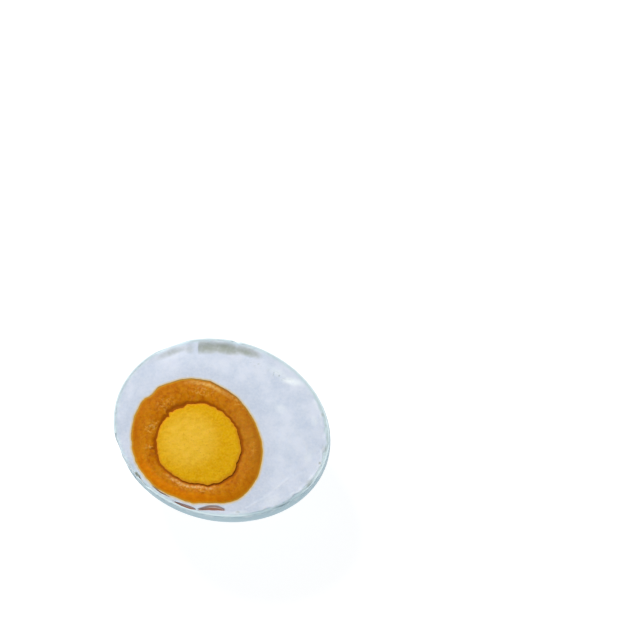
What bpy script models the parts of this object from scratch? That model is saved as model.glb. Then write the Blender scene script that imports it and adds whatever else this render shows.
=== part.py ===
"""Half of a salted duck egg, cut lengthwise: eggshell, white, and a yolk in two layers.

Lengths are in metres. The half lies on its rounded back with the cut face up. The pointed end
is at +X, and the origin is on the ground under the middle of the egg. Heights inside the
functions are counted from the plane of the cut, and one empty lifts everything to its place.
"""

import math

import bmesh
import bpy
from mathutils import Color, Vector, noise

MM = 0.001

# The whole egg, and where the knife went through it
EGG_LENGTH = 57.6 * MM
EGG_WIDTH = 47.5 * MM
BLUNTNESS = 0.022
CUT_ABOVE_MIDDLE = 2.7 * MM
SHELL_THICKNESS = 0.45 * MM
GAP = 0.25 * MM
FLAT_SPOT_DEPTH = 0.2 * MM

# The yolk: an orange outer layer round a yellow core, both off the middle of the egg
YOLK_X = -5.1 * MM
YOLK_Y = -5.9 * MM
YOLK_LENGTH = 36.8 * MM
YOLK_WIDTH = 31.2 * MM
YOLK_DEPTH = 15.5 * MM
YOLK_TURN = math.radians(-20)
CORE_SHIFT = 0.6 * MM
CORE_LENGTH = 22.2 * MM
CORE_WIDTH = 20.6 * MM
CORE_DEPTH = 10.5 * MM

# Swellings and notches of both outlines, seen from the yolk's middle: direction and half width
# in degrees, height
YOLK_SWELLINGS = (
    (325, 22, 0.6 * MM),
    (298, 16, -0.6 * MM),
    (272, 18, -0.35 * MM),
    (342, 12, 0.3 * MM),
    (30, 10, -0.35 * MM),
    (60, 8, 0.3 * MM),
    (100, 36, 0.75 * MM),
    (151, 7, -0.6 * MM),
    (172, 36, -0.6 * MM),
    (198, 26, -0.3 * MM),
)
CORE_SWELLINGS = (
    (328, 46, 1.15 * MM),
    (350, 5, -0.3 * MM),
    (8, 16, 0.35 * MM),
    (96, 9, 0.4 * MM),
    (127, 8, -0.25 * MM),
    (138, 14, -0.35 * MM),
    (154, 5, -0.5 * MM),
    (165, 16, -0.33 * MM),
    (211, 7, -0.15 * MM),
    (233, 30, 0.62 * MM),
    (275, 28, 0.33 * MM),
)

# Relief of the yolk's cut
OUTER_LAYER_SUNK = 0.15 * MM
OUTER_LAYER_CROWN = 0.45 * MM
OUTER_LAYER_FULLNESS = 0.7
TRENCH_DEPTH = 0.4 * MM
TRENCH_START = 0.7
YOLK_GRAIN_SIZE = 1.7 * MM
YOLK_GRAIN_HEIGHT = 0.22 * MM
CORE_EDGE_HEIGHT = 0.05 * MM
CORE_DOME = 0.5 * MM
CORE_EDGE_TAPER = 0.985
CORE_RAGGED_SIZE = 1.6 * MM
CORE_RAGGED_HEIGHT = 0.3 * MM
CORE_GRAIN_START = 0.25
CORE_GRAIN_LAYER = 5.0

# Relief of the white's cut
WHITE_SUNK = 0.1 * MM
WHITE_WAVE_SIZE = 7.0 * MM
WHITE_WAVE_HEIGHT = 0.2 * MM
RECESS_ANGLE = 108
RECESS_HALF_ANGLE = 27
RECESS_WIDTH = 3.2 * MM
RECESS_DEPTH = 0.5 * MM

# Slits in the thin white beside the yolk: start, middle and end on the cut, half width, depth
SLITS = (
    (
        (-5.6 * MM, -22.4 * MM),
        (-2.4 * MM, -22.7 * MM),
        (0.8 * MM, -22.7 * MM),
        0.35 * MM,
        0.8 * MM,
    ),
    (
        (1.3 * MM, -22.4 * MM),
        (4.4 * MM, -21.4 * MM),
        (7.8 * MM, -20.7 * MM),
        0.75 * MM,
        1.1 * MM,
    ),
)

# Rim of the eggshell, and its chips: direction and half width in degrees, depth
RIM_PROUD = 0.15 * MM
RIM_RAGGED_SIZE = 2.2 * MM
RIM_RAGGED_HEIGHT = 0.25 * MM
RIM_RAGGED_LAYER = 3.0
RIM_CHIPS = (
    (236, 5, 0.6 * MM),
    (138, 12, 0.8 * MM),
    (96, 4, 0.4 * MM),
    (-34, 8, 0.9 * MM),
    (-16, 6, 0.7 * MM),
    (9, 4, 0.6 * MM),
)

# Where a whole piece of eggshell is gone: its middle and half width in degrees, its depth, and
# the block that cuts it, with a ragged, rounded underside
MISSING_ANGLE = 215.5
MISSING_HALF_ANGLE = 14
MISSING_DEPTH = 6.5 * MM
MISSING_END_SHARE = 0.35
MISSING_ROUNDNESS = 6
MISSING_RAGGED_HEIGHT = 0.9 * MM
MISSING_STEPS = 10
MISSING_NEAR = 19 * MM
MISSING_FAR = 33 * MM
MISSING_TOP = 2 * MM

# How finely each surface is divided. The points round it crowd together beside the slits.
AROUND = 80
CROWDING = 0.35
CROWDED_SIDE = math.radians(285)
EGG_LEVELS = 13
INNER_LEVELS = 8
WHITE_FACE_LOOPS = 8
YOLK_LEVELS = 7
YOLK_FACE_LOOPS = 9
CORE_LEVELS = 5
CORE_FACE_LOOPS = 6
REACH_STEPS = 40
ANGLE_STEPS = 4
SHARP_ANGLE = math.radians(40)

HALF_LENGTH = EGG_LENGTH / 2
HALF_WIDTH = EGG_WIDTH / 2
FACE_HEIGHT = CUT_ABOVE_MIDDLE + HALF_WIDTH - FLAT_SPOT_DEPTH
STRAIGHT_DOWN = math.pi / 2
WHITE_INSET = SHELL_THICKNESS + GAP


def linear(red, green, blue):
    """A screen colour of 0 to 255 a channel, as the linear values that a shader takes."""
    screen = Color((red / 255, green / 255, blue / 255))
    return (*screen.from_srgb_to_scene_linear(), 1.0)


def angle_between(first, second):
    """The gap between two directions in degrees, from 0 to 180."""
    return abs((first - second + 180) % 360 - 180)


def bump(gap, half_width):
    """A smooth hump: 1 at no gap, 0 from half_width on."""
    if gap >= half_width:
        return 0.0
    return (1 - (gap / half_width) ** 2) ** 2


def smooth_step(share):
    share = min(max(share, 0.0), 1.0)
    return share * share * (3 - 2 * share)


def ripple(x, y, size, height, layer=0.0):
    """Even noise of about that size and height, the same in every run."""
    return height * noise.noise(Vector((x / size, y / size, layer)))


def direction_of(x, y):
    """The direction of a point on the cut from the middle of the egg, in degrees."""
    return math.degrees(math.atan2(y, x)) % 360


# The body of the egg


def outside_egg(x, y, z, inset):
    """Above 0 outside the egg's surface, drawn in by inset, and below 0 inside it."""
    half_length = HALF_LENGTH - inset
    half_width = HALF_WIDTH - inset
    share = x / half_length
    radius = half_width * (1 - BLUNTNESS * share)
    return y * y + (z + CUT_ABOVE_MIDDLE) ** 2 - radius * radius * (1 - share * share)


def egg_point(theta, phi, inset):
    """Where a ray from the yolk's middle, theta round and phi down, meets the egg's surface."""
    aside = math.cos(phi)
    ray = Vector((aside * math.cos(theta), aside * math.sin(theta), -math.sin(phi)))
    start = Vector((YOLK_X, YOLK_Y, 0))
    near = 0.0
    far = EGG_LENGTH
    for _ in range(REACH_STEPS):
        middle = (near + far) / 2
        if outside_egg(*(start + ray * middle), inset) > 0:
            far = middle
        else:
            near = middle
    return start + ray * near


def egg_angle_at(theta, height, inset):
    """How far down a ray looks to meet the egg's surface at that height."""
    phi = 0.0
    for _ in range(ANGLE_STEPS):
        reach = (egg_point(theta, phi, inset) - Vector((YOLK_X, YOLK_Y, 0))).length
        phi = -math.asin(height / reach)
    return phi


def edge_distance(x, y):
    """How far inside the egg's outline a point on the cut lies."""
    theta = math.atan2(y - YOLK_Y, x - YOLK_X)
    return (egg_point(theta, 0.0, 0.0) - Vector((x, y, 0))).length


# The yolk's outlines on the cut, as distances from the yolk's middle


def ellipse_reach(theta, length, width):
    along = math.cos(theta - YOLK_TURN) / (length / 2)
    across = math.sin(theta - YOLK_TURN) / (width / 2)
    return 1 / math.hypot(along, across)


def swell(reach, theta, swellings):
    for direction, half_width, height in swellings:
        reach += height * bump(angle_between(math.degrees(theta), direction), half_width)
    return reach


def yolk_reach(theta):
    return swell(ellipse_reach(theta, YOLK_LENGTH, YOLK_WIDTH), theta, YOLK_SWELLINGS)


def core_reach(theta):
    reach = ellipse_reach(theta, CORE_LENGTH, CORE_WIDTH) + CORE_SHIFT * math.cos(theta)
    reach = swell(reach, theta, CORE_SWELLINGS)
    x = reach * math.cos(theta)
    y = reach * math.sin(theta)
    return reach + ripple(x, y, CORE_RAGGED_SIZE, CORE_RAGGED_HEIGHT)


def yolk_point(theta, reach, height):
    return Vector((YOLK_X + reach * math.cos(theta), YOLK_Y + reach * math.sin(theta), height))


def bowl_point(theta, phi, reach, depth):
    """A point of the rounded bowl that has this reach at the cut and this depth below it."""
    distance = 1 / math.hypot(math.cos(phi) / reach, math.sin(phi) / depth)
    return yolk_point(theta, distance * math.cos(phi), -distance * math.sin(phi))


# Relief of the cut


def slit_depth(x, y):
    depth = 0.0
    point = Vector((x, y))
    for *corners, half_width, slit in SLITS:
        ends = [Vector(corner) for corner in corners]
        for start, end in zip(ends, ends[1:]):
            run = end - start
            share = min(max((point - start).dot(run) / run.length_squared, 0.0), 1.0)
            gap = (start + run * share - point).length
            depth = max(depth, slit * bump(gap, half_width))
    return depth


def recess_depth(x, y):
    """Where the white has sunk away behind the rim."""
    gap = angle_between(direction_of(x, y), RECESS_ANGLE)
    opening = math.sqrt(bump(gap, RECESS_HALF_ANGLE))
    nearness = 1 - edge_distance(x, y) / RECESS_WIDTH
    return RECESS_DEPTH * opening * smooth_step(2 * nearness)


def white_height(x, y):
    waves = ripple(x, y, WHITE_WAVE_SIZE, WHITE_WAVE_HEIGHT)
    return waves - WHITE_SUNK - recess_depth(x, y) - slit_depth(x, y)


def rim_height(x, y):
    height = RIM_PROUD + ripple(x, y, RIM_RAGGED_SIZE, RIM_RAGGED_HEIGHT, RIM_RAGGED_LAYER)
    direction = direction_of(x, y)
    for chip, half_width, depth in RIM_CHIPS:
        height -= depth * bump(angle_between(direction, chip), half_width)
    return height


def outer_layer_height(share, x, y):
    """Height of the orange layer, with share 0 at its outer edge and 1 beside the core."""
    hump = math.sin(math.pi * min(share / TRENCH_START, 1.0))
    crown = OUTER_LAYER_CROWN * hump**OUTER_LAYER_FULLNESS
    trench = smooth_step((share - TRENCH_START) / (1 - TRENCH_START))
    grain = ripple(x, y, YOLK_GRAIN_SIZE, YOLK_GRAIN_HEIGHT) * math.sin(math.pi * share)
    return crown + grain - OUTER_LAYER_SUNK - (TRENCH_DEPTH - OUTER_LAYER_SUNK) * trench


def core_height(share, x, y):
    """Height of the core's top, with share 0 at its edge and 1 in its middle."""
    dome = CORE_DOME * (1 - (1 - share) ** 2)
    fade = smooth_step(share / CORE_GRAIN_START)
    grain = ripple(x, y, YOLK_GRAIN_SIZE, YOLK_GRAIN_HEIGHT, CORE_GRAIN_LAYER) * fade
    return CORE_EDGE_HEIGHT + dome + grain


# Solids from loops of points


def directions():
    turns = [2 * math.pi * i / AROUND for i in range(AROUND)]
    return [turn - CROWDING * math.sin(turn - CROWDED_SIDE) for turn in turns]


def falling_angles(first, count):
    """Angles from first down towards straight down, without the last one."""
    return [first + (STRAIGHT_DOWN - first) * i / count for i in range(count)]


def solid_from_loops(name, first_pole, loops, last_pole):
    """A closed mesh: a fan at each pole, and bands of four-sided faces from loop to loop."""
    bm = bmesh.new()
    rows = [[bm.verts.new(point) for point in loop] for loop in loops]
    poles = (bm.verts.new(first_pole), bm.verts.new(last_pole))
    for i in range(AROUND):
        following = (i + 1) % AROUND
        bm.faces.new((poles[0], rows[0][i], rows[0][following]))
        bm.faces.new((poles[1], rows[-1][following], rows[-1][i]))
        for row, next_row in zip(rows, rows[1:]):
            bm.faces.new((row[i], next_row[i], next_row[following], row[following]))
    bmesh.ops.recalc_face_normals(bm, faces=bm.faces)
    mesh = bpy.data.meshes.new(name)
    bm.to_mesh(mesh)
    bm.free()
    part = bpy.data.objects.new(name, mesh)
    bpy.context.scene.collection.objects.link(part)
    return part


def egg_wall(inset, count, height_at):
    """Loops down the egg's surface from its edge on the cut, whose height height_at gives."""
    columns = []
    for theta in directions():
        edge = egg_point(theta, 0.0, inset)
        top = egg_angle_at(theta, height_at(edge.x, edge.y), inset)
        columns.append([egg_point(theta, phi, inset) for phi in falling_angles(top, count)])
    return [list(loop) for loop in zip(*columns)]


def bowl_wall(reach_at, grow, depth, top_depth, count):
    """Loops down a bowl of the yolk, grown by grow, from top_depth below the cut."""
    top = math.asin(top_depth / depth)
    angles = falling_angles(top, count)
    return [
        [bowl_point(theta, phi, reach_at(theta) + grow, depth + grow) for theta in directions()]
        for phi in angles
    ]


def yolk_pole(depth):
    return Vector((YOLK_X, YOLK_Y, -depth))


def cut_flat_spot(part):
    """Cuts the rounded back flat where the egg rests, and closes it with one face."""
    bm = bmesh.new()
    bm.from_mesh(part.data)
    cut = bmesh.ops.bisect_plane(
        bm,
        geom=bm.verts[:] + bm.edges[:] + bm.faces[:],
        dist=0.001 * MM,
        plane_co=(0, 0, -FACE_HEIGHT),
        plane_no=(0, 0, -1),
        clear_outer=True,
    )
    edges = [piece for piece in cut["geom_cut"] if isinstance(piece, bmesh.types.BMEdge)]
    bmesh.ops.edgeloop_fill(bm, edges=edges)
    bmesh.ops.recalc_face_normals(bm, faces=bm.faces)
    bm.to_mesh(part.data)
    bm.free()


def missing_depth(share):
    """Depth of the gap in the eggshell, with share -1 at its one end and 1 at its other."""
    fullness = math.sqrt(1 - abs(share) ** MISSING_ROUNDNESS)
    ragged = ripple(share, 0.0, 1 / MISSING_ROUNDNESS, MISSING_RAGGED_HEIGHT) * fullness
    return MISSING_DEPTH * (MISSING_END_SHARE + (1 - MISSING_END_SHARE) * fullness) + ragged


def make_missing_piece():
    """The block that is cut out of the eggshell, in slices round the egg."""
    bm = bmesh.new()
    slices = []
    for step in range(MISSING_STEPS + 1):
        share = 2 * step / MISSING_STEPS - 1
        angle = math.radians(MISSING_ANGLE + MISSING_HALF_ANGLE * share)
        away = Vector((math.cos(angle), math.sin(angle), 0))
        low = Vector((0, 0, -missing_depth(share)))
        high = Vector((0, 0, MISSING_TOP))
        near = away * MISSING_NEAR
        far = away * MISSING_FAR
        corners = (near + low, far + low, far + high, near + high)
        slices.append([bm.verts.new(corner) for corner in corners])
    bm.faces.new(slices[0])
    bm.faces.new(slices[-1][::-1])
    for first, second in zip(slices, slices[1:]):
        for i in range(len(first)):
            following = (i + 1) % len(first)
            bm.faces.new((first[i], second[i], second[following], first[following]))
    bmesh.ops.recalc_face_normals(bm, faces=bm.faces)
    mesh = bpy.data.meshes.new("missing_piece")
    bm.to_mesh(mesh)
    bm.free()
    cutter = bpy.data.objects.new("missing_piece", mesh)
    cutter.hide_render = True
    cutter.display_type = "WIRE"
    bpy.context.scene.collection.objects.link(cutter)
    return cutter


def make_eggshell(cutter):
    outside = egg_wall(0.0, EGG_LEVELS, rim_height)
    inside = egg_wall(SHELL_THICKNESS, INNER_LEVELS, rim_height)
    part = solid_from_loops(
        "eggshell",
        egg_point(0.0, STRAIGHT_DOWN, 0.0),
        outside[::-1] + inside,
        egg_point(0.0, STRAIGHT_DOWN, SHELL_THICKNESS),
    )
    cut_flat_spot(part)
    gap = part.modifiers.new("gap", "BOOLEAN")
    gap.operation = "DIFFERENCE"
    gap.solver = "EXACT"
    gap.object = cutter
    return part


def make_white():
    outside = egg_wall(WHITE_INSET, INNER_LEVELS, white_height)
    cavity = bowl_wall(yolk_reach, GAP, YOLK_DEPTH, 0.0, YOLK_LEVELS)
    face = []
    for step in range(1, WHITE_FACE_LOOPS + 1):
        share = step / WHITE_FACE_LOOPS
        loop = []
        for outer, inner in zip(outside[0], cavity[0]):
            point = outer.lerp(inner, share)
            point.z = white_height(point.x, point.y)
            loop.append(point)
        face.append(loop)
    return solid_from_loops(
        "egg_white",
        egg_point(0.0, STRAIGHT_DOWN, WHITE_INSET),
        outside[::-1] + face + cavity[1:],
        yolk_pole(YOLK_DEPTH + GAP),
    )


def make_outer_yolk():
    outside = bowl_wall(yolk_reach, 0.0, YOLK_DEPTH, 0.0, YOLK_LEVELS)
    cavity = bowl_wall(core_reach, GAP, CORE_DEPTH, TRENCH_DEPTH, CORE_LEVELS)
    face = []
    for step in range(YOLK_FACE_LOOPS):
        share = step / YOLK_FACE_LOOPS
        loop = []
        for outer, inner in zip(outside[0], cavity[0]):
            point = outer.lerp(inner, share)
            point.z = outer_layer_height(share, point.x, point.y)
            loop.append(point)
        face.append(loop)
    return solid_from_loops(
        "yolk_outer_layer",
        yolk_pole(YOLK_DEPTH),
        outside[:0:-1] + face + cavity,
        yolk_pole(CORE_DEPTH + GAP),
    )


def make_core():
    outside = bowl_wall(core_reach, 0.0, CORE_DEPTH, TRENCH_DEPTH, CORE_LEVELS)
    face = []
    for step in range(CORE_FACE_LOOPS):
        share = step / CORE_FACE_LOOPS
        loop = []
        for theta in directions():
            point = yolk_point(theta, core_reach(theta) * CORE_EDGE_TAPER * (1 - share), 0.0)
            point.z = core_height(share, point.x, point.y)
            loop.append(point)
        face.append(loop)
    return solid_from_loops(
        "yolk_core",
        yolk_pole(CORE_DEPTH),
        outside[::-1] + face,
        yolk_point(0.0, 0.0, core_height(1.0, YOLK_X, YOLK_Y)),
    )


# Finish


def give_material(part, colour, roughness):
    material = bpy.data.materials.new(part.name)
    material.use_nodes = True
    shader = material.node_tree.nodes["Principled BSDF"]
    shader.inputs["Base Color"].default_value = linear(*colour)
    shader.inputs["Roughness"].default_value = roughness
    shader.inputs["Metallic"].default_value = 0.0
    part.data.materials.append(material)


def shade(part):
    part.data.shade_smooth()
    part.data.set_sharp_from_angle(angle=SHARP_ANGLE)


def clear_scene():
    for old in list(bpy.data.objects):
        bpy.data.objects.remove(old)


def build():
    clear_scene()
    lift = bpy.data.objects.new("cut_plane", None)
    lift.location = (0, 0, FACE_HEIGHT)
    bpy.context.scene.collection.objects.link(lift)
    cutter = make_missing_piece()
    cutter.parent = lift
    finishes = (
        (make_eggshell(cutter), (168, 196, 210), 0.6),
        (make_white(), (210, 218, 231), 0.45),
        (make_outer_yolk(), (197, 118, 14), 0.4),
        (make_core(), (222, 172, 34), 0.8),
    )
    for part, colour, roughness in finishes:
        part.parent = lift
        give_material(part, colour, roughness)
        shade(part)


build()
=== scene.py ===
"""The looks of half a salted duck egg: a chipped eggshell, the white, and the two-layered yolk.

Lengths are in metres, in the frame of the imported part: +X points to the egg's pointed end, +Z
up, and the origin is on the ground. Heights inside the functions are counted from the cut.
"""

import math

import bpy
import numpy as np
from mathutils import Color, Matrix, Vector


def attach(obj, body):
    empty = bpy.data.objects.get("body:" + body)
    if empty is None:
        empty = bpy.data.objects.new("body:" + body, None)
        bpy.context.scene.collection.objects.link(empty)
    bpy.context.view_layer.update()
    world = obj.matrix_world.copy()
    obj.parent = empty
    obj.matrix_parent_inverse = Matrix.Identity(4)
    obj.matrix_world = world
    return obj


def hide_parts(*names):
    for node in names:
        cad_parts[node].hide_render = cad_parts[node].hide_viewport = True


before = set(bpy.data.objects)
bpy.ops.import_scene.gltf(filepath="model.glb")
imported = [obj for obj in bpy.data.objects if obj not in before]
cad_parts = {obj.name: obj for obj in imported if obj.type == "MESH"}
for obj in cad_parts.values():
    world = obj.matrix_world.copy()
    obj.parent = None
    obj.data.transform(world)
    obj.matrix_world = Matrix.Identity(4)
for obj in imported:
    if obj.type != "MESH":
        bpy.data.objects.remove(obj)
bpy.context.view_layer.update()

MM = 0.001
HALF_TURN = 180
FULL_TURN = 2 * HALF_TURN
BODY = "root"

# The whole egg, and where the knife went through it
EGG_LENGTH = 57.6 * MM
EGG_WIDTH = 47.5 * MM
BLUNTNESS = 0.022
CUT_ABOVE_MIDDLE = 2.7 * MM
SHELL_THICKNESS = 0.42 * MM
FLAT_SPOT_DEPTH = 0.2 * MM
HALF_LENGTH = EGG_LENGTH / 2
HALF_WIDTH = EGG_WIDTH / 2
FACE_HEIGHT = CUT_ABOVE_MIDDLE + HALF_WIDTH - FLAT_SPOT_DEPTH
STRAIGHT_DOWN = math.pi / 2
FLOOR_LIFT = 0.02 * MM

# The yolk: an orange outer layer round a yellow core, both off the middle of the egg
YOLK_X = -5.1 * MM
YOLK_Y = -5.9 * MM
YOLK_LENGTH = 36.9 * MM
YOLK_WIDTH = 31.3 * MM
YOLK_DEPTH = 15.6 * MM
YOLK_TURN = math.radians(-20)
CORE_SHIFT = 0.6 * MM
CORE_LENGTH = 22.1 * MM
CORE_WIDTH = 20.6 * MM
CORE_DEPTH = 10.5 * MM

# How the orange layer's top rises between its sunk edge and the trench, and where its grain starts
OUTER_LAYER_SUNK = 0.2 * MM
OUTER_LAYER_CROWN = 0.42 * MM
CROWN_END = 0.9
CROWN_FULLNESS = 0.8
CALM_GRAIN = 0.25
OUTER_EDGE_SHARE = 0.08
EDGE_GRAIN = 0.3
GRAIN_START = 0.1
GRAIN_RISE = 0.3

# The core's top: a low dome with a rounded edge
CORE_EDGE_HEIGHT = 0.05 * MM
CORE_DOME = 0.45 * MM
CORE_EDGE_SHARE = 0.07
CORE_GRAIN_SHARE = 0.05

# Swellings of an outline seen from the yolk's middle: direction and half width in degrees, height
YOLK_SWELLINGS = (
    (325, 22, 0.6 * MM),
    (298, 16, -0.6 * MM),
    (272, 18, -0.35 * MM),
    (342, 12, 0.25 * MM),
    (26, 20, -0.22 * MM),
    (68, 22, 0.3 * MM),
    (100, 36, 0.75 * MM),
    (149, 9, -0.4 * MM),
    (153, 4, -0.25 * MM),
    (172, 36, -0.6 * MM),
    (198, 26, -0.3 * MM),
)
CORE_SWELLINGS = (
    (328, 46, 1.15 * MM),
    (350, 4, -0.3 * MM),
    (8, 16, 0.35 * MM),
    (96, 9, 0.4 * MM),
    (127, 6, -0.25 * MM),
    (138, 14, -0.35 * MM),
    (149, 3, 0.25 * MM),
    (154, 3, -0.5 * MM),
    (165, 16, -0.33 * MM),
    (211, 6, -0.15 * MM),
    (233, 30, 0.62 * MM),
    (275, 28, 0.33 * MM),
)

# The trench between the yolk's layers: its width, directions where it is wider, and a groove
# that runs out of it
TRENCH_DEPTH = 0.24 * MM
TRENCH_WIDTH = 0.9 * MM
TRENCH_STEEPNESS = 1.15
TRENCH_FLOOR_DEPTH = OUTER_LAYER_SUNK + TRENCH_DEPTH
CORE_EDGE_DROP = 0.16 * MM
WIDE_TRENCH = (
    (140, 34, 1.4 * MM),
    (200, 30, 0.4 * MM),
    (98, 22, 0.4 * MM),
    (20, 26, 0.5 * MM),
    (335, 34, 0.5 * MM),
)
GROOVE_ANGLE = 207.3
GROOVE_HALF_ANGLE = 3.0
GROOVE_LENGTH = 3.0 * MM
GROOVE_SHARE = 0.9

# Where the orange is deepest and dullest, where a strip beside the trench has a painted highlight,
# and where the outer edge has a painted shadow, with a painted pale yellow highlight inside it
DEEP_ORANGE_ANGLE = 262
DEEP_ORANGE_HALF_ANGLE = 66
DEEP_ORANGE_SHARE = 0.3
DEEP_ORANGE_FADE = 0.35
DULL_ANGLE = 25
DULL_HALF_ANGLE = 65
LIT_ANGLE = 281
LIT_HALF_ANGLE = 36
LIT_GAP = 1.05 * MM
LIT_HALF_WIDTH = 0.75 * MM
SHADOWED_BRIM_ANGLE = 80
SHADOWED_BRIM_HALF_ANGLE = 50
CREAM_HIGHLIGHT_ANGLE = 96
CREAM_HIGHLIGHT_HALF_ANGLE = 32
CREAM_HIGHLIGHT_GAP = 1.1 * MM
CREAM_HIGHLIGHT_HALF_WIDTH = 0.9 * MM

# The core's paler place: its middle, the radius that is palest, and how far it takes to fade
PALE_X = -6.8 * MM
PALE_Y = -5.9 * MM
PALE_RADIUS = 4.4 * MM
PALE_FADE = 4.8 * MM

# The rim: how proud of the cut it stands, how wide the white slopes beside it, and its chips:
# direction and half width in degrees, depth
RIM_PROUD = 0.02 * MM
RIM_SLOPE = 1.6 * MM
RIM_CHIPS = (
    (236, 5, 0.6 * MM),
    (139, 12.5, 1.2 * MM),
    (99.3, 3.3, 1.2 * MM),
    (-34, 8, 0.4 * MM),
    (-16, 6, 0.3 * MM),
    (9, 4, 0.3 * MM),
)

# Where a whole piece of eggshell is gone: its middle and half width in degrees, its depth at
# the ends as a share of its depth in the middle, how square its outline is, and the share of the
# way down from which the wall doesn't follow the rim
MISSING_ANGLE = 215.5
MISSING_HALF_ANGLE = 14
MISSING_DEPTH = 6.5 * MM
MISSING_END_SHARE = 0.12
MISSING_ROUNDNESS = 6
MISSING_FULLNESS = 0.8
SETTLED_SHARE = 0.45

# Where the rim and the white's edge both lie lower: direction, half angle, depth; and where both
# are painted a darker blue, as shade
LOW_EDGES = (
    (139, 13, 0.2 * MM),
    (322, 22, 0.12 * MM),
)
SHADED_RIM_ANGLE = 322
SHADED_RIM_HALF_ANGLE = 26

# Where the white has sunk away behind the rim, with a steep end: direction, half angle, depth,
# and how far inside the rim it starts, is deepest and ends
RECESSES = (
    (106, 26, 0.22 * MM),
    (141, 12, 0.1 * MM),
)
RECESS_START = 0.6 * MM
RECESS_BOTTOM = 2.3 * MM
RECESS_FAR_SIDE = 4.4 * MM
RECESS_END = 108.3
RECESS_END_SOFTNESS = 1.0
RECESS_FAR_SOFTNESS = 5.0

# Grey-green painted shade near the rim, in the recess and the chips, partly the shell and its
# lining seen there: direction, distance inside the rim, half angle, half width and strength, which
# above 1 is a darker grey; how far below the cut it reaches and how it fades there; and the half
# angle above which its outlines are calmer
EDGE_SHADES = (
    (119, 2.5 * MM, 17, 2.3 * MM, 0.9),
    (106, 2.5 * MM, 15, 2.1 * MM, 1.0),
    (92, 2.1 * MM, 15, 1.6 * MM, 0.85),
    (141, 1.9 * MM, 13, 1.3 * MM, 0.55),
    (222, 0.7 * MM, 5, 0.8 * MM, 0.3),
    (228.5, 0.5 * MM, 2.4, 0.7 * MM, 1.6),
    (25.2, 0.85 * MM, 1.6, 0.6 * MM, 0.45),
    (18.8, 0.75 * MM, 2.0, 0.4 * MM, 0.45),
    (12, 0.7 * MM, 1.5, 0.4 * MM, 0.3),
    (5.5, 1.2 * MM, 3.0, 1.1 * MM, 0.4),
    (357, 1.3 * MM, 1.1, 0.5 * MM, 0.8),
    (344.8, 1.0 * MM, 3.2, 1.0 * MM, 0.45),
    (343.5, 0.6 * MM, 2.0, 0.5 * MM, 0.7),
    (299.5, 1.4 * MM, 2.0, 0.5 * MM, 0.6),
)
EDGE_SHADE_REACH = 0.5 * MM
EDGE_SHADE_FADE = 0.6 * MM
EDGE_SHADE_CALM_ANGLE = 2

# Where the white's edge is crumbled away: direction and half angle, width; its softness, and the
# pale lobes along it, which need a strip of some width
CRUMBLED_EDGES = (
    (3, 50, 0.35 * MM),
    (318, 26, 0.2 * MM),
)
CRUMBLED_DEPTH = 0.1 * MM
CRUMB_SOFTNESS = 0.45 * MM
LOBE_WIDTH = 0.7 * MM
LOBE_STRIP = LOBE_WIDTH / 2
FULL_STRIP = LOBE_WIDTH / 3
LOBE_SHARE = 0.5
LOBE_RISE = 0.4
LOBE_BRIGHTNESS = 0.4

# Slits in the thin white beside the yolk: a path on the cut, half width, depth, and how far the
# widest place is drawn to the path's end
SLITS = (
    (
        (
            (-5.9 * MM, -22.4 * MM),
            (-4.0 * MM, -22.65 * MM),
            (-1.8 * MM, -22.8 * MM),
            (0.75 * MM, -22.75 * MM),
        ),
        0.48 * MM,
        0.5 * MM,
        1.8,
    ),
    (
        (
            (1.15 * MM, -22.6 * MM),
            (3.9 * MM, -21.3 * MM),
            (5.9 * MM, -20.75 * MM),
            (7.9 * MM, -20.5 * MM),
        ),
        0.8 * MM,
        0.6 * MM,
        1.0,
    ),
    (
        ((-12.3 * MM, -20.2 * MM), (-9.5 * MM, -21.3 * MM), (-6.8 * MM, -21.75 * MM)),
        0.18 * MM,
        0.4 * MM,
        1.0,
    ),
    (
        ((-16.2 * MM, -18.9 * MM), (-15.2 * MM, -19.9 * MM), (-14.0 * MM, -20.6 * MM)),
        0.26 * MM,
        0.5 * MM,
        1.0,
    ),
)
SLIT_STEEPNESS = 1.6
SLIT_LOW_SIDE = (0.32, -0.95)
SLIT_END_WIDTH = 0.02
SLIT_TAPER = 0.8
# The slits' dark lower sides, painted shade over the reddish brown in them: how narrow and how far
# dropped
SLIT_SHADE_WIDTH = 0.7
SLIT_SHADE_DROP = 0.35

# The white's cut face: how far it lies below the cut and below the rim, a crease in it with a
# painted highlight along it, and its brighter, crumbly patches and dotted ones: middle, half
# lengths, turn, strength
WHITE_SUNK = 0.06 * MM
WHITE_BELOW_RIM = 0.03 * MM
CREASE = ((12.9 * MM, -18.5 * MM), (17.1 * MM, -13.9 * MM), (20.6 * MM, -7.8 * MM))
CREASE_HEIGHT = 0.025 * MM
CREASE_HALF_WIDTH = 0.5 * MM
CREASE_LIGHT_HALF_WIDTH = 0.4 * MM
BRIGHT_PATCHES = (
    ((13.4 * MM, 17.4 * MM), (4.4 * MM, 1.5 * MM), 5, 1.0),
    ((9.0 * MM, 18.6 * MM), (4.5 * MM, 1.6 * MM), -15, 0.5),
    ((22.5 * MM, 9.0 * MM), (2.0 * MM, 1.4 * MM), -60, 0.4),
    ((24.0 * MM, -0.5 * MM), (1.8 * MM, 2.2 * MM), 0, 0.35),
    ((13.1 * MM, 9.4 * MM), (2.6 * MM, 1.8 * MM), -20, 0.35),
    ((19.0 * MM, -14.5 * MM), (4.5 * MM, 2.4 * MM), 40, 0.2),
    ((11.5 * MM, -20.6 * MM), (3.4 * MM, 1.4 * MM), 30, 0.5),
)
DOTTED_PATCHES = (
    ((8.9 * MM, 17.7 * MM), (4.2 * MM, 1.6 * MM), 0, 1.0),
    ((3.0 * MM, 19.0 * MM), (4.0 * MM, 1.5 * MM), 5, 0.5),
)

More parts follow.
